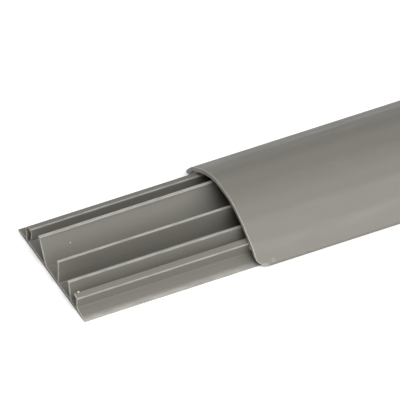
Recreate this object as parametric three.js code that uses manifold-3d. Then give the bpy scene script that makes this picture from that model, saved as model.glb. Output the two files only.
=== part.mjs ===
import * as THREE from "three";
import { mergeVertices } from "three/addons/utils/BufferGeometryUtils.js";
import Module from "manifold-3d";

// Floor cord cover: a flat base profile with four cable ways, and a low domed cover that clips over it.
// Both are drawn as one section each and extruded to stock length. Three small cuts at the shown end follow.
// Millimetres. X runs along the stock, +Y is across to the leaning wall's side, +Z is up.
// The origin is the middle of the base's underside.

// Stock
const stockLength = 2000;
const coverSetBack = 86;

// Base plate and its sloping skirts
const baseWidth = 70;
const plateThickness = 1.5;
const rimHeight = 0.4;
const skirtTopHeight = 2.2;
const rimRound = 0.15;

// Hollow clip ribs along both sides of the base
const ribSetIn = 7.75;
const ribTopWidth = 3.5;
const ribOuterHeight = 7.7;
const ribInnerHeight = 8.5;
const ribWall = 0.8;
const barbReach = 0.5;
const barbFace = 0.5;
const barbUndercut = 0.3;

// Walls between the cable ways: the low one is set in from the near rib, the others from the middle line
const wallThickness = 1.4;
const leaningWall = { foot: 5.9, top: 13.2, height: 13.5 };
const middleWall = { foot: -6.7, top: -6.7, height: 14.2 };
const lowWallFootFromRib = 3.95;
const lowWallTopFromRib = 6.1;
const lowWallHeight = 10.8;
const footRound = 0.4;
const wallTopRound = 0.25;
const beadReach = 0.4;
const beadDepth = 0.8;

// Cover shell
const coverOverhang = 2.5;
const coverHeight = 20;
const coverWall = 2.2;
const floorClearance = 0.3;
const sideHeight = 1.4;
const sideRound = 1.5;
const flankSetIn = 5.9;
const flankHeight = 8.1;
const flankRound = 24;
const innerFlankRound = 8;
const shoulderSetIn = 17;
const shoulderHeight = 15;
const shoulderRound = 20;
const crownFromMiddle = 9;
const crownRun = 6;
const lipRound = 0.5;

// Clip legs inside the cover
const clipClearance = 0.3;
const legThickness = 1.3;
const hookDepth = 1.6;
const edgeRound = 0.2;

// Damage at the shown end: the cover's snipped near corner, and both ribs' inner legs broken back,
// with the far rib's roof as well
const snipHeight = 4.1;
const snipLength = 5.6;
const breakLength = 1.4;
const breakFromWeb = 0.6;
const breakHeight = 2.1;
const cutterMargin = 1;

const arcSteps = 6;

const baseHalf = baseWidth / 2;
const coverHalf = baseHalf + coverOverhang;
const ribOuter = baseHalf - ribSetIn;
const ribInner = ribOuter - ribTopWidth;
const webOuter = ribOuter - barbReach;
const lowWall = { foot: lowWallFootFromRib - ribInner, top: lowWallTopFromRib - ribInner, height: lowWallHeight };
const barbBottom = ribOuterHeight - barbFace - barbUndercut;

function corner(y, z, round = 0) {
  return { y, z, round };
}

// The same corners on the other side of the middle line, in reverse order.
function mirrored(corners) {
  return corners.map((c) => corner(-c.y, c.z, c.round)).reverse();
}

// One corner with the ways back and ahead along its edges, and how far its arc reaches along both.
function cornerEdges(corners, index) {
  const here = corners[index];
  const before = corners[(index + corners.length - 1) % corners.length];
  const after = corners[(index + 1) % corners.length];
  const point = new THREE.Vector2(here.y, here.z);
  const back = new THREE.Vector2(before.y, before.z).sub(point);
  const ahead = new THREE.Vector2(after.y, after.z).sub(point);
  const lengthAhead = ahead.length();
  back.normalize();
  ahead.normalize();
  const halfAngle = Math.acos(THREE.MathUtils.clamp(back.dot(ahead), -1, 1)) / 2;
  return { point, back, ahead, lengthAhead, halfAngle, round: here.round, run: here.round / Math.tan(halfAngle) };
}

// A closed outline through the corners, each one rounded by an arc of its own radius. Where the two arcs on
// an edge are longer than the edge, both are made smaller until they fit.
function roundedOutline(corners, Outline = THREE.Shape) {
  const outline = new Outline();
  const edges = corners.map((_, index) => cornerEdges(corners, index));
  const fits = edges.map((edge, index) => edge.lengthAhead / (edge.run + edges[(index + 1) % edges.length].run));
  edges.forEach(({ point, back, ahead, halfAngle, round }, index) => {
    const radius = round * Math.min(1, fits[index], fits[(index + edges.length - 1) % edges.length]);
    const start = point.clone().addScaledVector(back, radius / Math.tan(halfAngle));
    if (index === 0) outline.moveTo(start.x, start.y);
    else outline.lineTo(start.x, start.y);
    if (radius > 0) {
      const middle = back.clone().add(ahead).normalize();
      const centre = point.clone().addScaledVector(middle, radius / Math.sin(halfAngle));
      const end = point.clone().addScaledVector(ahead, radius / Math.tan(halfAngle));
      const from = Math.atan2(start.y - centre.y, start.x - centre.x);
      const to = Math.atan2(end.y - centre.y, end.x - centre.x);
      const clockwise = back.cross(ahead) > 0;
      outline.absarc(centre.x, centre.y, radius, from, to, clockwise);
    }
  });
  outline.closePath();
  return outline;
}

// Both sides and the flat top of one wall, from its far foot round to its near foot.
function wallCorners({ foot, top, height }) {
  const half = wallThickness / 2;
  return [
    corner(foot + half, plateThickness, footRound),
    corner(top + half, height, wallTopRound),
    corner(top - half, height, wallTopRound),
    corner(foot - half, plateThickness, footRound),
  ];
}

// The leaning wall carries a bead on the near side of its top.
function beadedWallCorners(wall) {
  const half = wallThickness / 2;
  const lean = (wall.top - wall.foot) / (wall.height - plateThickness);
  const beadFoot = wall.height - beadDepth;
  const nearFace = wall.top - half - lean * beadDepth;
  const [farFoot, farTop, , nearFoot] = wallCorners(wall);
  return [
    farFoot,
    farTop,
    corner(wall.top - half - beadReach, wall.height, edgeRound),
    corner(nearFace - beadReach, beadFoot + beadReach, edgeRound),
    corner(nearFace, beadFoot),
    nearFoot,
  ];
}

// Skirt, web, barb, sloping top and inner leg of the clip rib on the +Y side.
const ribCorners = [
  corner(baseHalf, 0, rimRound),
  corner(baseHalf, rimHeight, rimRound),
  corner(webOuter, skirtTopHeight, footRound),
  corner(webOuter, barbBottom),
  corner(ribOuter, barbBottom + barbUndercut, edgeRound),
  corner(ribOuter, ribOuterHeight, edgeRound),
  corner(ribInner, ribInnerHeight, edgeRound),
  corner(ribInner, plateThickness, footRound),
];

// Height of the underside of the rib's roof at a distance from the middle line.
function underRoof(y) {
  const slope = (ribInnerHeight - ribOuterHeight) / ribTopWidth;
  return ribOuterHeight + slope * (ribOuter - y) - ribWall;
}

function ribHollow(side) {
  const outer = webOuter - ribWall;
  const inner = ribInner + ribWall;
  return roundedOutline([
    corner(side * outer, plateThickness, edgeRound),
    corner(side * outer, underRoof(outer), edgeRound),
    corner(side * inner, underRoof(inner), edgeRound),
    corner(side * inner, plateThickness, edgeRound),
  ], THREE.Path);
}

function baseSection() {
  const section = roundedOutline([
    ...ribCorners,
    ...beadedWallCorners(leaningWall),
    ...wallCorners(middleWall),
    ...wallCorners(lowWall),
    ...mirrored(ribCorners),
  ]);
  section.holes.push(ribHollow(1), ribHollow(-1));
  return section;
}

// The crown's arc starts a set run before its corner, whatever slope it turns down to.
const shoulderFromMiddle = coverHalf - shoulderSetIn;
const crownTurn = Math.atan2(coverHeight - shoulderHeight, shoulderFromMiddle - crownFromMiddle);
const crownRound = crownRun / Math.tan(crownTurn / 2);

// Corners of the cover's outer surface on the +Y side, from the lip up to the crown.
const coverSide = [
  corner(coverHalf, floorClearance, lipRound),
  corner(coverHalf, sideHeight, sideRound),
  corner(coverHalf - flankSetIn, flankHeight, flankRound),
  corner(shoulderFromMiddle, shoulderHeight, shoulderRound),
  corner(crownFromMiddle, coverHeight, crownRound),
];

// A corner moved in from both of its edges by the same depth, with its arc kept parallel. The material lies
// left of the way from before to after, so the arc narrows where the way turns left and widens otherwise.
function movedIn(before, here, after, depth) {
  const point = new THREE.Vector2(here.y, here.z);
  const coming = new THREE.Vector2(here.y - before.y, here.z - before.z).normalize();
  const going = new THREE.Vector2(after.y - here.y, after.z - here.z).normalize();
  const leftOfComing = new THREE.Vector2(-coming.y, coming.x);
  const inward = new THREE.Vector2(-going.y, going.x).add(leftOfComing).normalize();
  point.addScaledVector(inward, depth / inward.dot(leftOfComing));
  const round = here.round - Math.sign(coming.cross(going)) * depth;
  return corner(point.x, point.y, Math.max(round, edgeRound));
}

function coverSection() {
  const [lip, side, flank, shoulder, crown] = coverSide;
  const otherCrown = corner(-crown.y, crown.z);
  const innerSide = movedIn(lip, side, flank, coverWall);
  const innerFlank = movedIn(side, flank, shoulder, coverWall);
  const innerShoulder = movedIn(flank, shoulder, crown, coverWall);
  const innerCrown = movedIn(shoulder, crown, otherCrown, coverWall);
  const slope = (innerShoulder.z - innerFlank.z) / (innerShoulder.y - innerFlank.y);
  const slopingFace = (y) => innerFlank.z + slope * (y - innerFlank.y);
  const lipSlope = (innerSide.y - innerFlank.y) / (innerSide.z - innerFlank.z);
  const lipInner = innerSide.y + lipSlope * (floorClearance - innerSide.z);
  const legInner = ribOuter + clipClearance;
  const legOuter = legInner + legThickness;
  const hookTip = webOuter + clipClearance;
  const hookTop = barbBottom - clipClearance;
  const hookBottom = hookTop - hookDepth;
  const half = [
    innerCrown,
    innerShoulder,
    corner(legInner, slopingFace(legInner), edgeRound),
    corner(legInner, hookTop, edgeRound),
    corner(hookTip, hookTop, edgeRound),
    corner(hookTip, hookBottom + legThickness / 2, edgeRound),
    corner(legOuter, hookBottom, edgeRound),
    corner(legOuter, slopingFace(legOuter), edgeRound),
    corner(innerFlank.y, innerFlank.z, innerFlankRound),
    corner(lipInner, floorClearance, edgeRound),
    ...coverSide,
  ];
  return roundedOutline([...half, ...mirrored(half)]);
}

// Extrudes a section drawn in Y and Z along X, from X = 0.
function stockGeometry(section) {
  const geometry = new THREE.ExtrudeGeometry(section, {
    depth: stockLength,
    steps: 1,
    bevelEnabled: false,
    curveSegments: arcSteps,
  });
  const yAxis = new THREE.Vector3(0, 1, 0);
  const zAxis = new THREE.Vector3(0, 0, 1);
  const xAxis = new THREE.Vector3(1, 0, 0);
  return geometry.applyMatrix4(new THREE.Matrix4().makeBasis(yAxis, zAxis, xAxis));
}

// The wedge that takes off the cover's lower near corner, across the whole near side.
function snipCutter() {
  const outline = new THREE.Shape([
    new THREE.Vector2(-cutterMargin, -cutterMargin),
    new THREE.Vector2(snipLength * (1 + cutterMargin / snipHeight), -cutterMargin),
    new THREE.Vector2(-cutterMargin, snipHeight * (1 + cutterMargin / snipLength)),
  ]);
  const depth = coverHalf + cutterMargin;
  return new THREE.ExtrudeGeometry(outline, { depth, bevelEnabled: false }).rotateX(Math.PI / 2);
}

// A block over the first stretch of a rib, from its inner side out to a place across the base, up to a top.
function breakCutter(far, top) {
  const near = ribInner - cutterMargin;
  const block = new THREE.BoxGeometry(breakLength + cutterMargin, far - near, top - breakHeight);
  return block.translate((breakLength - cutterMargin) / 2, (near + far) / 2, (breakHeight + top) / 2);
}

// The far rib loses its roof and inner leg and keeps its outer web.
function farBreakCutter() {
  return breakCutter(webOuter - breakFromWeb, ribInnerHeight + cutterMargin);
}

// The near rib loses its inner leg and keeps its web and roof.
function nearBreakCutter() {
  const far = ribInner + ribWall + edgeRound;
  return breakCutter(far, underRoof(far)).rotateZ(Math.PI).translate(breakLength - cutterMargin, 0, 0);
}

const wasm = await Module();
wasm.setup();

function solidOf(geometry) {
  const bare = geometry.clone().deleteAttribute("normal").deleteAttribute("uv");
  const merged = mergeVertices(bare);
  return new wasm.Manifold(new wasm.Mesh({
    numProp: 3,
    vertProperties: merged.attributes.position.array,
    triVerts: new Uint32Array(merged.index.array),
  }));
}

function withoutCutters(geometry, ...cutters) {
  const left = cutters.reduce((solid, cutter) => solid.subtract(solidOf(cutter)), solidOf(geometry));
  const { vertProperties, triVerts } = left.getMesh();
  const cut = new THREE.BufferGeometry();
  cut.setAttribute("position", new THREE.BufferAttribute(vertProperties, 3));
  cut.setIndex(new THREE.BufferAttribute(triVerts, 1));
  cut.computeVertexNormals();
  return cut;
}

function placed(name, geometry, startX, material) {
  const mesh = new THREE.Mesh(geometry, material);
  mesh.name = name;
  mesh.position.x = startX;
  return mesh;
}

function greyPlastic() {
  return new THREE.MeshStandardMaterial({ color: 0x82807a, roughness: 0.55, metalness: 0 });
}

const group = new THREE.Group();
const base = withoutCutters(stockGeometry(baseSection()), farBreakCutter(), nearBreakCutter());
const cover = withoutCutters(stockGeometry(coverSection()), snipCutter());
group.add(placed("base_profile", base, -stockLength / 2, greyPlastic()));
group.add(placed("cover_profile", cover, coverSetBack - stockLength / 2, greyPlastic()));

export default group;
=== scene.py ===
import math

import bpy
import numpy as np
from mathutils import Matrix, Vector, geometry


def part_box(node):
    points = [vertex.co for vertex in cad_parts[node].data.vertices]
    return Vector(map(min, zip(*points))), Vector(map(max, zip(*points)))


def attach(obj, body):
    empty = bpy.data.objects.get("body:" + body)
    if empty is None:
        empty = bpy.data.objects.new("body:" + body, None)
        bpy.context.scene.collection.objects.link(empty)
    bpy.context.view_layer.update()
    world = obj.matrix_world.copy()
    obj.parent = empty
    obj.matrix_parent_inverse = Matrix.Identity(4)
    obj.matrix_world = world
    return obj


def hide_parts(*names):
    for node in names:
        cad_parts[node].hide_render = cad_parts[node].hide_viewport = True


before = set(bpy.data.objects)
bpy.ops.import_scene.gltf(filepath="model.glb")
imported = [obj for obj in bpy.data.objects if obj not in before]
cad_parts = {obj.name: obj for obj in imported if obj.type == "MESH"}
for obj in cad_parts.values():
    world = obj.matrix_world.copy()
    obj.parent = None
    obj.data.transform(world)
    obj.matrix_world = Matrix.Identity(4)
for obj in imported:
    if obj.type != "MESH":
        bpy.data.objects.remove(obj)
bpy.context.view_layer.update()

# Sizes are in millimetres, and meshes are made in metres.
MM = 0.001

# Places taken from the frame
BASE_LOW, BASE_HIGH = (np.array(corner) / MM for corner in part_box("base_profile"))
COVER_LOW, COVER_HIGH = (np.array(corner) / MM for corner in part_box("cover_profile"))
BASE_HALF = BASE_HIGH[1]
COVER_HALF = COVER_HIGH[1]
COVER_TOP = COVER_HIGH[2]
LIP_HEIGHT = COVER_LOW[2]

# Base plate and skirts
PLATE = 1.5
RIM_HEIGHT = 0.4
RIM_ROUND = 0.15
SKIRT_TOP = 2.2

# Clip ribs
RIB_SET_IN = 7.75
RIB_TOP_WIDTH = 3.5
RIB_OUTER_HEIGHT = 7.7
RIB_INNER_HEIGHT = 8.5
RIB_WALL = 0.8
BARB_REACH = 0.5
BARB_FACE = 0.5
BARB_UNDERCUT = 0.3

# Walls between the cable ways: foot and top from the middle line, and height
WALL = 1.4
LEANING_WALL = (5.9, 13.2, 13.5)
MIDDLE_WALL = (-6.7, -6.7, 14.2)
LOW_WALL = (-19.8, -17.65, 10.8)
FOOT_ROUND = 0.4
WALL_TOP_ROUND = 0.25
BEAD_REACH = 0.4
BEAD_DEPTH = 0.8

# Cover shell and its clip legs
COVER_WALL = 2.2
SIDE_HEIGHT = 1.4
SIDE_ROUND = 1.5
FLANK_SET_IN = 5.9
FLANK_HEIGHT = 8.1
FLANK_ROUND = 24.0
INNER_FLANK_ROUND = 8.0
SHOULDER_SET_IN = 17.0
SHOULDER_HEIGHT = 15.0
SHOULDER_ROUND = 20.0
CROWN_FROM_MIDDLE = 9.0
CROWN_RUN = 6.0
LIP_ROUND = 0.5
CLIP_CLEARANCE = 0.3
LEG = 1.3
HOOK_DEPTH = 1.6
EDGE_ROUND = 0.2

# Cut ends: a small round, then a pale band: partly saw whitening, partly a painted highlight along the cut
# edge
SAWN_EDGE = 0.12
WHITENED_AND_HIGHLIT_BAND = 0.5
ARC_STEPS = 10

# Damage at the shown end
SNIP_HEIGHT = 4.1
SNIP_LENGTH = 6.2
SNIP_CURVE = 1.55
SNIP_LEVELS = 8
LEG_BREAK_LENGTH = 1.4
ROOF_BREAK_LENGTH = 0.9
BREAK_FROM_WEB = 0.6
BREAK_HEIGHT = 2.1
TORN_RAMP = 0.25
BURR = {"along": 2.2, "size": (0.55, 0.38, 0.42)}
SPECK = {"along": 13.9, "height": 7.7, "size": (0.3, 0.2, 0.3)}

RIB_OUTER = BASE_HALF - RIB_SET_IN
RIB_INNER = RIB_OUTER - RIB_TOP_WIDTH
WEB_OUTER = RIB_OUTER - BARB_REACH
BARB_BOTTOM = RIB_OUTER_HEIGHT - BARB_FACE - BARB_UNDERCUT
ROOF_SLOPE = (RIB_INNER_HEIGHT - RIB_OUTER_HEIGHT) / RIB_TOP_WIDTH
LEG_TOP = RIB_OUTER_HEIGHT + ROOF_SLOPE * (RIB_OUTER - RIB_INNER - RIB_WALL) - RIB_WALL

# Camera: as the photograph, with a long lens so that the long edges stay parallel
CAMERA_AZIMUTH = -25.954
CAMERA_ELEVATION = 41.256
CAMERA_DISTANCE = 7.0656
CAMERA_LENS = 1400
CAMERA_AIM = Vector((-0.91772, 0.01538, 0.00205))

# Light: azimuth, elevation and strength of each soft lamp, and the even fill
LAMPS = [(0, 60, 2.0), (0, 20, 0.3), (30, 35, 1.05), (90, 45, 0.65), (180, 55, 0.4), (-90, 30, 0.25)]
LAMP_SPREAD = 40
FILL = 0.11
FLOOR_GLOW = 0.2


def unit(vectors):
    """Each row divided by its own length."""
    return vectors / np.linalg.norm(vectors, axis=-1, keepdims=True)


def mirrored(corners):
    """The same corners on the other side of the middle line, in reverse order."""
    return (np.array(corners) * (-1, 1, 1))[::-1]


def rounded_outline(corners):
    """Closed outline through rows of y, z and radius, with each corner an arc tangent to both its edges.

    The arc's centre lies on the bisector at radius / sin(half the corner's angle). It starts
    radius / tan(half angle) before the corner and turns through 180 degrees less the whole angle.
    The second result holds the normals, which point out of the material.
    """
    corners = np.array(corners, float)
    points, radius = corners[:, :2], corners[:, 2:]
    back = unit(np.roll(points, 1, axis=0) - points)
    ahead = unit(np.roll(points, -1, axis=0) - points)
    half = np.arccos(np.clip((back * ahead).sum(axis=1), -1, 1)) / 2
    centre = points + unit(back + ahead) * radius / np.sin(half)[:, None]
    start = points + back * radius / np.tan(half)[:, None] - centre
    side = np.sign(ahead[:, 0] * back[:, 1] - ahead[:, 1] * back[:, 0])
    first = np.arctan2(start[:, 1], start[:, 0])
    turned = np.linspace(0, 1, ARC_STEPS + 1)[None, :] * ((np.pi - 2 * half) * side)[:, None]
    angle = first[:, None] + turned
    radial = np.stack([np.cos(angle), np.sin(angle)], axis=2)
    arc = centre[:, None, :] + radius[:, None, :] * radial
    normals = radial * side[:, None, None]
    return arc.reshape(-1, 2), normals.reshape(-1, 2)


def with_points_at(outline, axis, level):
    """The outline with a point added wherever an edge crosses a level of y (axis 0) or z (axis 1)."""
    points, normals = outline
    after, after_normals = np.roll(points, -1, axis=0), np.roll(normals, -1, axis=0)
    before_level, after_level = points[:, axis] - level, after[:, axis] - level
    crossing = np.flatnonzero(before_level * after_level < 0)
    share = (before_level[crossing] / (before_level - after_level)[crossing])[:, None]
    added = points[crossing] + share * (after - points)[crossing]
    added_normals = unit(normals[crossing] + share * (after_normals - normals)[crossing])
    where = crossing + 1
    return np.insert(points, where, added, axis=0), np.insert(normals, where, added_normals, axis=0)


def wall_corners(foot, top, height):
    """The far foot, the rounded top and the near foot of one wall."""
    half = WALL / 2
    return [
        (foot + half, PLATE, FOOT_ROUND),
        (top + half, height, WALL_TOP_ROUND),
        (top - half, height, WALL_TOP_ROUND),
        (foot - half, PLATE, FOOT_ROUND),
    ]


def beaded_wall_corners(foot, top, height):
    """A wall with a bead on the near side of its top."""
    far_foot, far_top, _, near_foot = wall_corners(foot, top, height)
    lean = (top - foot) / (height - PLATE)
    near_face = top - WALL / 2 - lean * BEAD_DEPTH
    bead_foot = height - BEAD_DEPTH
    return [
        far_foot,
        far_top,
        (top - WALL / 2 - BEAD_REACH, height, EDGE_ROUND),
        (near_face - BEAD_REACH, bead_foot + BEAD_REACH, EDGE_ROUND),
        (near_face, bead_foot, EDGE_ROUND / 4),
        near_foot,
    ]


def base_outlines():
    """The base's outer outline and the outlines of its two rib hollows."""
    rib = [
        (BASE_HALF, 0, RIM_ROUND),
        (BASE_HALF, RIM_HEIGHT, RIM_ROUND),
        (WEB_OUTER, SKIRT_TOP, FOOT_ROUND),
        (WEB_OUTER, BARB_BOTTOM, EDGE_ROUND / 4),
        (RIB_OUTER, BARB_BOTTOM + BARB_UNDERCUT, EDGE_ROUND),
        (RIB_OUTER, RIB_OUTER_HEIGHT, EDGE_ROUND),
        (RIB_INNER, RIB_INNER_HEIGHT, EDGE_ROUND),
        (RIB_INNER, PLATE, FOOT_ROUND),
    ]
    walls = [*beaded_wall_corners(*LEANING_WALL), *wall_corners(*MIDDLE_WALL), *wall_corners(*LOW_WALL)]
    outer, inner = WEB_OUTER - RIB_WALL, RIB_INNER + RIB_WALL
    hollow = [
        (outer, PLATE, EDGE_ROUND),
        (inner, PLATE, EDGE_ROUND),
        (inner, LEG_TOP, EDGE_ROUND),
        (outer, LEG_TOP - ROOF_SLOPE * (outer - inner), EDGE_ROUND),
    ]
    outside = rounded_outline(np.vstack([rib, walls, mirrored(rib)]))
    return [outside, rounded_outline(hollow), rounded_outline(mirrored(hollow))]


def moved_in(before, here, after, depth):
    """A corner moved in from both its edges by the same depth, with its arc kept parallel."""
    before, here, after = (np.array(c, float) for c in (before, here, after))
    back, ahead = unit(before[:2] - here[:2]), unit(after[:2] - here[:2])
    half = math.acos(np.clip(back @ ahead, -1, 1)) / 2
    point = here[:2] + unit(back + ahead) * depth / math.sin(half)
    return (*point, max(here[2] - depth, EDGE_ROUND))


def cover_outlines():
    """The cover's one outline: shell, lips and clip legs."""
    shoulder_from_middle = COVER_HALF - SHOULDER_SET_IN
    crown_turn = math.atan2(COVER_TOP - SHOULDER_HEIGHT, shoulder_from_middle - CROWN_FROM_MIDDLE)
    outer = [
        (COVER_HALF, LIP_HEIGHT, LIP_ROUND),
        (COVER_HALF, SIDE_HEIGHT, SIDE_ROUND),
        (COVER_HALF - FLANK_SET_IN, FLANK_HEIGHT, FLANK_ROUND),
        (shoulder_from_middle, SHOULDER_HEIGHT, SHOULDER_ROUND),
        (CROWN_FROM_MIDDLE, COVER_TOP, CROWN_RUN / math.tan(crown_turn / 2)),
    ]
    lip, side, flank, shoulder, crown = outer
    inner_side = moved_in(lip, side, flank, COVER_WALL)
    inner_flank = moved_in(side, flank, shoulder, COVER_WALL)
    inner_shoulder = moved_in(flank, shoulder, crown, COVER_WALL)
    inner_crown = moved_in(shoulder, crown, (-crown[0], *crown[1:]), COVER_WALL)
    slope = (inner_shoulder[1] - inner_flank[1]) / (inner_shoulder[0] - inner_flank[0])
    lip_slope = (inner_side[0] - inner_flank[0]) / (inner_side[1] - inner_flank[1])
    leg_inner = RIB_OUTER + CLIP_CLEARANCE
    leg_outer = leg_inner + LEG
    hook_tip = WEB_OUTER + CLIP_CLEARANCE
    hook_top = BARB_BOTTOM - CLIP_CLEARANCE
    hook_bottom = hook_top - HOOK_DEPTH
    lip_inner = inner_side[0] + lip_slope * (LIP_HEIGHT - inner_side[1])

    def under_shell(y):
        return (y, inner_flank[1] + slope * (y - inner_flank[0]), EDGE_ROUND)

    half = [
        inner_crown,
        inner_shoulder,
        under_shell(leg_inner),
        (leg_inner, hook_top, EDGE_ROUND),
        (hook_tip, hook_top, EDGE_ROUND),
        (hook_tip, hook_bottom + LEG / 2, EDGE_ROUND),
        (leg_outer, hook_bottom, EDGE_ROUND),
        under_shell(leg_outer),
        (*inner_flank[:2], INNER_FLANK_ROUND),
        (lip_inner, LIP_HEIGHT, EDGE_ROUND),
        *outer,
    ]
    return [rounded_outline(np.vstack([half, mirrored(half)]))]


def snipped_corner(points):
    """The near lower corner is cut off. What is gone grows as a power of the depth below the cut's top."""
    depth = np.clip(1 - points[:, 1] / SNIP_HEIGHT, 0, 1)
    return SNIP_LENGTH * depth**SNIP_CURVE * (points[:, 0] < 0)


def ramp(value, start):
    """0 below the start, 1 a torn ramp's width above it, and straight between."""
    return np.clip((value - start) / TORN_RAMP, 0, 1)


def broken_ribs(points):
    """Both ribs' inner legs are broken back, and the far rib's roof too, with steep torn edges.

    Each loss is a length times a ramp across the rib, from its inner side to the end of what is gone, and
    ramps up the leg. A sine of the place along the outline makes the tears uneven.
    """
    across, z = np.abs(points[:, 0]), points[:, 1]
    inside = across > RIB_INNER - TORN_RAMP
    leg = inside * ramp(-across, -(RIB_INNER + RIB_WALL + TORN_RAMP))
    leg = leg * ramp(z, BREAK_HEIGHT) * ramp(-z, -LEG_TOP)
    roof = inside * ramp(-across, -(WEB_OUTER - BREAK_FROM_WEB)) * ramp(z, LEG_TOP - TORN_RAMP)
    roof = roof * (points[:, 0] > 0)
    loss = np.maximum(LEG_BREAK_LENGTH * leg, ROOF_BREAK_LENGTH * roof)
    return loss * (1 + 0.12 * np.sin(5.0 * across + 2.3 * z))


def stock_wall(outline, low_x, high_x, cut):
    """The long surface over one outline, from one cut end to the other.

    Each station repeats the outline along X. At the ends the stations follow a quarter circle, so that
    the outline shrinks by r(1 - sin t) while X advances by r(1 - cos t) and the cut edge is rounded. One
    more station ends the pale band along the cut edge, which is partly saw whitening and partly painted
    highlight.
    """
    points, normals = outline
    turn = np.linspace(0, math.pi / 2, 4)
    inset = np.append(SAWN_EDGE * (1 - np.sin(turn)), 0)
    advance = np.append(SAWN_EDGE * (1 - np.cos(turn)), WHITENED_AND_HIGHLIT_BAND)
    lean = np.append(np.cos(turn), 0)
    insets = np.concatenate([inset, inset[::-1]])
    facing = np.concatenate([-lean, lean[::-1]])
    start = low_x + cut(points)
    x = np.vstack([start + advance[:, None], high_x - advance[::-1, None] + 0 * start])
    yz = points[None] - insets[:, None, None] * normals[None]
    grid = np.concatenate([x[:, :, None], yz], axis=2)
    side = np.sqrt(1 - facing**2)[:, None, None] * normals[None]
    along = np.broadcast_to(facing[:, None, None], x.shape + (1,))
    rows, columns = x.shape
    corner = np.arange(rows * columns).reshape(rows, columns)
    beside = np.roll(corner, -1, axis=1)
    quads = np.stack([corner[:-1], beside[:-1], beside[1:], corner[1:]], axis=2).reshape(-1, 4)
    return grid, np.concatenate([along, side], axis=2), quads, corner


def end_faces(loops, grids, facing):
    """Triangles that fill a cut end inside its outer loop and round its hollows, turned to face along X."""
    rings = [[Vector((0, *point)) for point in grid[:, 1:]] for grid in grids]
    triangles = np.array(geometry.tessellate_polygon(rings))
    flat = np.vstack([grid[:, 1:] for grid in grids])
    a, b, c = (flat[triangles[:, k]] for k in range(3))
    area = (b - a)[:, 0] * (c - a)[:, 1] - (b - a)[:, 1] * (c - a)[:, 0]
    triangles[area * facing < 0] = triangles[area * facing < 0][:, ::-1]
    return np.concatenate(loops)[triangles[area != 0]]


def stock_mesh(name, outlines, low_x, high_x, cut, materials):
    """One piece of stock: its long surfaces, its hollows and its two sawn ends, as one closed mesh."""
    verts, normals, whitened_and_highlit, faces = [], [], [], []
    first_loops, last_loops, first_rows, last_rows = [], [], [], []
    count = 0
    for outline in outlines:
        grid, facing, quads, corner = stock_wall(outline, low_x, high_x, cut)
        verts.append(grid.reshape(-1, 3))
        normals.append(facing.reshape(-1, 3))
        rows = np.arange(len(grid))
        # Rows in the pale cut-edge band: partly saw whitening, partly painted highlight
        in_band = np.minimum(rows, rows[::-1]) < len(grid) // 2 - 1
        whitened_and_highlit.append(np.repeat(in_band.astype(np.float32), grid.shape[1]))
        faces.extend((quads + count).tolist())
        first_loops.append(corner[0] + count)
        last_loops.append(corner[-1] + count)
        first_rows.append(grid[0])
        last_rows.append(grid[-1])
        count += grid.shape[0] * grid.shape[1]
    ends = np.vstack([end_faces(first_loops, first_rows, -1), end_faces(last_loops, last_rows, 1)])
    mesh = bpy.data.meshes.new(name)
    mesh.from_pydata((np.vstack(verts) * MM).tolist(), [], faces + ends.tolist())
    slots = np.zeros(len(mesh.polygons), dtype=np.int32)
    slots[len(faces):] = 1
    mesh.polygons.foreach_set("material_index", slots)
    mesh.polygons.foreach_set("use_smooth", np.ones(len(mesh.polygons), dtype=bool))
    for material in materials:
        mesh.materials.append(material)
    mesh.normals_split_custom_set_from_vertices(unit(np.vstack(normals)).tolist())
    mesh.attributes.new("whitened_and_highlit", "FLOAT", "POINT").data.foreach_set("value", np.concatenate(whitened_and_highlit))
    mesh.update()
    piece = bpy.data.objects.new(name, mesh)
    bpy.context.collection.objects.link(piece)
    return piece


def crumb(name, centre, size, material):
    """A small lump of plastic: a sphere of two angles, stretched, with a shallow wave over it."""
    down, round_about = np.linspace(0, math.pi, 9), np.linspace(0, 2 * math.pi, 13)[:-1]
    polar, around = np.meshgrid(down, round_about, indexing="ij")
    ball = np.stack([np.sin(polar) * np.cos(around), np.sin(polar) * np.sin(around), np.cos(polar)], axis=2)
    wave = 1 + 0.18 * np.sin(3 * around + 2 * polar) * np.sin(polar)
    points = (np.array(centre) + ball * wave[:, :, None] * np.array(size)) * MM
    rows, columns = polar.shape
    ring = np.arange((rows - 2) * columns).reshape(rows - 2, columns) + 1
    beside = np.roll(ring, -1, axis=1)
    last = (rows - 2) * columns + 1
    top = np.stack([np.zeros(columns, int), ring[0], beside[0]], axis=1)
    bottom = np.stack([np.full(columns, last), beside[-1], ring[-1]], axis=1)
    quads = np.stack([ring[:-1], ring[1:], beside[1:], beside[:-1]], axis=2).reshape(-1, 4)
    verts = np.vstack([points[0, :1], points[1:-1].reshape(-1, 3), points[-1, :1]])
    mesh = bpy.data.meshes.new(name)
    mesh.from_pydata(verts.tolist(), [], top.tolist() + quads.tolist() + bottom.tolist())
    mesh.polygons.foreach_set("use_smooth", np.ones(len(mesh.polygons), dtype=bool))
    mesh.materials.append(material)
    piece = bpy.data.objects.new(name, mesh)
    bpy.context.collection.objects.link(piece)
    return piece


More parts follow.
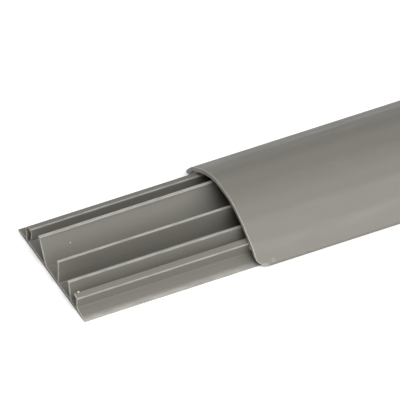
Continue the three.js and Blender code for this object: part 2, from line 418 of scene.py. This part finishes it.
class Finish:
    """A Principled material with short calls for the nodes that this object's plastic needs."""

    def __init__(self, name, colour, roughness):
        self.material = bpy.data.materials.new(name)
        self.material.use_nodes = True
        self.nodes = self.material.node_tree.nodes
        self.links = self.material.node_tree.links
        self.shader = self.nodes["Principled BSDF"]
        self.shader.inputs["Base Color"].default_value = (*colour, 1)
        self.shader.inputs["Roughness"].default_value = roughness
        self.place = self.nodes.new("ShaderNodeTexCoord").outputs["Object"]

    def noise(self, size, scale, detail=3.0):
        """Noise on Object coordinates, stretched by a size for each axis."""
        mapping = self.nodes.new("ShaderNodeMapping")
        mapping.inputs["Scale"].default_value = size
        texture = self.nodes.new("ShaderNodeTexNoise")
        texture.inputs["Scale"].default_value = scale
        texture.inputs["Detail"].default_value = detail
        self.links.new(self.place, mapping.inputs["Vector"])
        self.links.new(mapping.outputs["Vector"], texture.inputs["Vector"])
        return texture.outputs["Fac"]

    def spread(self, value, low, high, to_low=0.0, to_high=1.0):
        """A value moved from one range to another, held at both ends."""
        node = self.nodes.new("ShaderNodeMapRange")
        node.inputs["From Min"].default_value = low
        node.inputs["From Max"].default_value = high
        node.inputs["To Min"].default_value = to_low
        node.inputs["To Max"].default_value = to_high
        self.links.new(value, node.inputs["Value"])
        return node.outputs["Result"]

    def near(self, centre, reach, core):
        """One within a share, the core, of an ellipsoid round a place, and nothing past it.

        Where the reach along X is endless, it is a band along the stock.
        """
        centre, reach = np.array(centre), np.array(reach)
        mapping = self.nodes.new("ShaderNodeMapping")
        mapping.inputs["Scale"].default_value = tuple(1 / (reach * MM))
        mapping.inputs["Location"].default_value = tuple(-centre / reach)
        length = self.nodes.new("ShaderNodeVectorMath")
        length.operation = "LENGTH"
        self.links.new(self.place, mapping.inputs["Vector"])
        self.links.new(mapping.outputs["Vector"], length.inputs[0])
        return self.spread(length.outputs["Value"], core, 1.0, 1.0, 0.0)

    def whitened_and_highlit(self):
        """How pale the cut edge's band is, as stored on the mesh: partly saw whitening, partly painted
        highlight.
        """
        node = self.nodes.new("ShaderNodeAttribute")
        node.attribute_name = "whitened_and_highlit"
        return node.outputs["Fac"]

    def larger(self, value, other):
        """The larger of two values."""
        node = self.nodes.new("ShaderNodeMath")
        node.operation = "MAXIMUM"
        self.links.new(value, node.inputs[0])
        self.links.new(other, node.inputs[1])
        return node.outputs["Value"]

    def times(self, value, other):
        """The product of two values."""
        node = self.nodes.new("ShaderNodeMath")
        node.operation = "MULTIPLY"
        self.links.new(value, node.inputs[0])
        self.links.new(other, node.inputs[1])
        return node.outputs["Value"]

    def tint(self, factor, first, second):
        """A colour between two, chosen by a factor, which goes to the shader."""
        node = self.nodes.new("ShaderNodeMix")
        node.data_type = "RGBA"
        self.links.new(factor, node.inputs["Factor"])
        for key, value in (("A", first), ("B", second)):
            socket = next(s for s in node.inputs if s.name == key and s.type == "RGBA")
            if isinstance(value, tuple):
                socket.default_value = (*value, 1)
            else:
                self.links.new(value, socket)
        colour = next(s for s in node.outputs if s.type == "RGBA")
        self.links.new(colour, self.shader.inputs["Base Color"])
        return colour

    def bump(self, height, distance, strength, under=None):
        """Relief of the given depth in metres, laid over another relief if there is one."""
        node = self.nodes.new("ShaderNodeBump")
        node.inputs["Distance"].default_value = distance
        node.inputs["Strength"].default_value = strength
        self.links.new(height, node.inputs["Height"])
        if under is not None:
            self.links.new(under, node.inputs["Normal"])
        self.links.new(node.outputs["Normal"], self.shader.inputs["Normal"])
        return node.outputs["Normal"]


def shade(colour, factor):
    """A colour made lighter or darker."""
    return tuple(channel * factor for channel in colour)


# Warm grey of the plastic, and the paler grey of the painted highlights along edges, in linear light
PLASTIC = (0.178, 0.170, 0.148)
PAINTED_HIGHLIGHT_PLASTIC = (0.378, 0.368, 0.338)

# Painted highlights in bands along the tops of the walls and ribs, and painted light along the near skirt's
# lower edge: centre, reach and core
BASE_PAINTED_HIGHLIGHTS = [
    ((0, LEANING_WALL[1] - BEAD_REACH / 2, LEANING_WALL[2]), (math.inf, 1.3, 0.5), 0.8),
    ((0, MIDDLE_WALL[1] - 0.1, MIDDLE_WALL[2]), (math.inf, 1.15, 0.45), 0.8),
    ((0, LOW_WALL[1] - 0.1, LOW_WALL[2]), (math.inf, 1.15, 0.45), 0.8),
    ((0, RIB_INNER, RIB_INNER_HEIGHT), (math.inf, 1.0, 0.6), 0.8),
    ((0, -RIB_OUTER, RIB_OUTER_HEIGHT), (math.inf, 0.6, 0.45), 0.8),
    # Painted light along the near skirt's lower edge, where the floor lights it
    ((0, -BASE_HALF, RIM_HEIGHT), (math.inf, 4.2, 1.2), 0.2),
]

# Painted highlights on the cover: along the snip's edge, along the lower half of the shown cut edge, and a
# faint painted glint
COVER_PAINTED_HIGHLIGHTS = [
    ((COVER_LOW[0] + 2.4, -COVER_HALF + 0.8, 1.2), (4.0, 3.0, 1.4), 0.5),
    ((COVER_LOW[0], -COVER_HALF + 8.0, 9.0), (0.3, 22.0, 12.0), 0.8),
    ((COVER_LOW[0] + 8.0, -COVER_HALF + 0.6, 2.6), (1.4, 2.0, 1.6), -0.9),
]


def drawn_plastic(name, painted_highlight_places):
    """Drawn plastic: slow colour drift, random pale patches, faint lines along the draw, a fine grain and
    painted highlights at the given places.
    """
    finish = Finish(name, PLASTIC, 0.42)
    drift = finish.spread(finish.noise((4, 30, 30), 1.0), 0.35, 0.65)
    colour = finish.tint(drift, shade(PLASTIC, 0.965), shade(PLASTIC, 1.035))
    rubbed = finish.times(
        finish.spread(finish.noise((70, 90, 90), 1.0, 6.0), 0.60, 0.72),
        finish.spread(finish.noise((500, 3000, 3000), 1.0, 2.0), 0.45, 0.70),
    )
    colour = finish.tint(finish.spread(rubbed, 0, 1, 0, 0.35), colour, shade(PLASTIC, 1.35))
    uneven = finish.spread(finish.noise((160, 900, 900), 1.0, 3.0), 0.3, 0.6, 0.45, 1.0)
    # Painted highlights: the given bands and spots are tinted pale where light catches the edges
    pale = finish.near(*painted_highlight_places[0])
    for place in painted_highlight_places[1:]:
        pale = finish.larger(pale, finish.near(*place))
    colour = finish.tint(finish.times(pale, uneven), colour, PAINTED_HIGHLIGHT_PLASTIC)
    # Pale band at the cut ends: partly saw whitening, partly a painted highlight on the cut edge
    finish.tint(finish.times(finish.whitened_and_highlit(), uneven), colour, shade(PLASTIC, 2.7))
    roughness = finish.spread(finish.noise((60, 400, 400), 1.0, 4.0), 0.3, 0.7, 0.42, 0.54)
    finish.links.new(roughness, finish.shader.inputs["Roughness"])
    lines = finish.bump(finish.noise((3, 1500, 1500), 1.0, 2.0), 0.00002, 0.35)
    finish.bump(finish.noise((1, 1, 1), 2600.0, 2.0), 0.000012, 0.35, lines)
    return finish.material


def sawn_plastic(name, low, high):
    """The sawn end: duller, between two tints, with fine scratches across the section."""
    finish = Finish(name, PLASTIC, 0.7)
    streaks = finish.noise((200, 260, 5200), 1.0, 3.0)
    finish.tint(finish.spread(streaks, 0.35, 0.65), shade(PLASTIC, low), shade(PLASTIC, high))
    finish.bump(streaks, 0.00004, 0.6)
    return finish.material


def crumb_plastic(name):
    """A torn bit of plastic, whitened where it was stretched."""
    finish = Finish(name, shade(PLASTIC, 3.6), 0.5)
    blotches = finish.noise((3000, 3000, 3000), 1.0, 2.0)
    finish.tint(finish.spread(blotches, 0.35, 0.65), shade(PLASTIC, 3.0), shade(PLASTIC, 4.2))
    finish.bump(blotches, 0.00005, 0.5)
    return finish.material


def make_base():
    """The base profile, in place of its plain solid."""
    materials = [drawn_plastic("base_plastic", BASE_PAINTED_HIGHLIGHTS), sawn_plastic("base_sawn_end", 0.95, 1.25)]
    outlines = base_outlines()
    for axis, level in (
        (0, WEB_OUTER - BREAK_FROM_WEB),
        (0, WEB_OUTER - BREAK_FROM_WEB - TORN_RAMP),
        (1, BREAK_HEIGHT),
        (1, BREAK_HEIGHT + TORN_RAMP),
        (1, LEG_TOP - TORN_RAMP),
        (1, LEG_TOP),
    ):
        outlines = [with_points_at(outline, axis, level) for outline in outlines]
    piece = stock_mesh("base_stock", outlines, BASE_LOW[0], BASE_HIGH[0], broken_ribs, materials)
    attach(piece, "base")
    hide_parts("base_profile")


def make_crumbs():
    """The sawing burr on the near rib's top edge, and a speck on the leaning wall's near face."""
    material = crumb_plastic("pale_burr")
    low_x = BASE_LOW[0]
    burr_at = (low_x + BURR["along"], -RIB_INNER - 0.1, RIB_INNER_HEIGHT + 0.05)
    foot, top, height = LEANING_WALL
    lean = (top - foot) / (height - PLATE)
    face = foot + lean * (SPECK["height"] - PLATE) - WALL / 2 * math.hypot(1, lean)
    speck_at = (low_x + SPECK["along"], face, SPECK["height"])
    for name, centre, size in (("burr", burr_at, BURR["size"]), ("speck", speck_at, SPECK["size"])):
        piece = crumb(name, centre, size, material)
        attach(piece, "base")


def make_cover():
    """The cover profile, in place of its plain solid, with the snipped corner at its shown end."""
    outlines = cover_outlines()
    for level in np.linspace(SNIP_HEIGHT, LIP_HEIGHT, SNIP_LEVELS + 1)[:-1]:
        outlines = [with_points_at(outline, 1, level) for outline in outlines]
    # The cover's sawn end is tinted much lighter than the base's as painted light on its cut face
    materials = [drawn_plastic("cover_plastic", COVER_PAINTED_HIGHLIGHTS), sawn_plastic("cover_sawn_end_painted_light", 1.8, 2.6)]
    piece = stock_mesh("cover_stock", outlines, COVER_LOW[0], COVER_HIGH[0], snipped_corner, materials)
    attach(piece, "cover")
    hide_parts("cover_profile")


def make_floor():
    """A wide plain pale floor with a faint glow that only the camera sees, so that hardly a shadow shows."""
    reach = 30.0
    mesh = bpy.data.meshes.new("floor")
    corners = [(-reach, -reach, 0), (reach, -reach, 0), (reach, reach, 0), (-reach, reach, 0)]
    mesh.from_pydata(corners, [], [(0, 1, 2, 3)])
    material = bpy.data.materials.new("pale_floor")
    material.use_nodes = True
    shader = material.node_tree.nodes["Principled BSDF"]
    shader.inputs["Base Color"].default_value = (0.93, 0.93, 0.93, 1)
    shader.inputs["Roughness"].default_value = 0.9
    shader.inputs["Specular IOR Level"].default_value = 0.1
    shader.inputs["Emission Color"].default_value = (1, 1, 1, 1)
    path = material.node_tree.nodes.new("ShaderNodeLightPath")
    glow = material.node_tree.nodes.new("ShaderNodeMath")
    glow.operation = "MULTIPLY"
    glow.inputs[1].default_value = FLOOR_GLOW
    material.node_tree.links.new(path.outputs["Is Camera Ray"], glow.inputs[0])
    material.node_tree.links.new(glow.outputs["Value"], shader.inputs["Emission Strength"])
    mesh.materials.append(material)
    floor = bpy.data.objects.new("floor", mesh)
    bpy.context.collection.objects.link(floor)


def direction(azimuth, elevation):
    """The unit vector towards a place at these angles round and above the part."""
    a, e = math.radians(azimuth), math.radians(elevation)
    return Vector((math.sin(a) * math.cos(e), -math.cos(a) * math.cos(e), math.sin(e)))


def make_light():
    """Soft lamps round the part, strongest from above its near side, and a weak even fill."""
    for azimuth, elevation, strength in LAMPS:
        data = bpy.data.lights.new("soft_lamp", "SUN")
        data.energy = strength
        data.angle = math.radians(LAMP_SPREAD)
        lamp = bpy.data.objects.new("soft_lamp", data)
        lamp.rotation_euler = direction(azimuth, elevation).to_track_quat("Z", "Y").to_euler()
        bpy.context.collection.objects.link(lamp)

    world = bpy.data.worlds.new("studio")
    bpy.context.scene.world = world
    world.use_nodes = True
    nodes, links = world.node_tree.nodes, world.node_tree.links
    around = nodes["Background"]
    around.inputs["Color"].default_value = (1, 1, 1, 1)
    around.inputs["Strength"].default_value = FILL
    seen = nodes.new("ShaderNodeBackground")
    seen.inputs["Strength"].default_value = 1.0
    path = nodes.new("ShaderNodeLightPath")
    mix = nodes.new("ShaderNodeMixShader")
    links.new(path.outputs["Is Camera Ray"], mix.inputs["Fac"])
    links.new(around.outputs["Background"], mix.inputs[1])
    links.new(seen.outputs["Background"], mix.inputs[2])
    links.new(mix.outputs["Shader"], nodes["World Output"].inputs["Surface"])


def make_camera():
    """The photograph's camera: its direction as angles round and above the part, at a set distance."""
    back = direction(CAMERA_AZIMUTH, CAMERA_ELEVATION)
    data = bpy.data.cameras.new("camera")
    data.lens = CAMERA_LENS
    data.clip_start, data.clip_end = 0.1, 100
    camera = bpy.data.objects.new("camera", data)
    camera.location = CAMERA_AIM + back * CAMERA_DISTANCE
    camera.rotation_euler = back.to_track_quat("Z", "Y").to_euler()
    bpy.context.collection.objects.link(camera)
    bpy.context.scene.camera = camera


bpy.context.scene.view_settings.view_transform = "Standard"
make_camera()
make_light()
make_floor()
make_base()
make_cover()
make_crumbs()
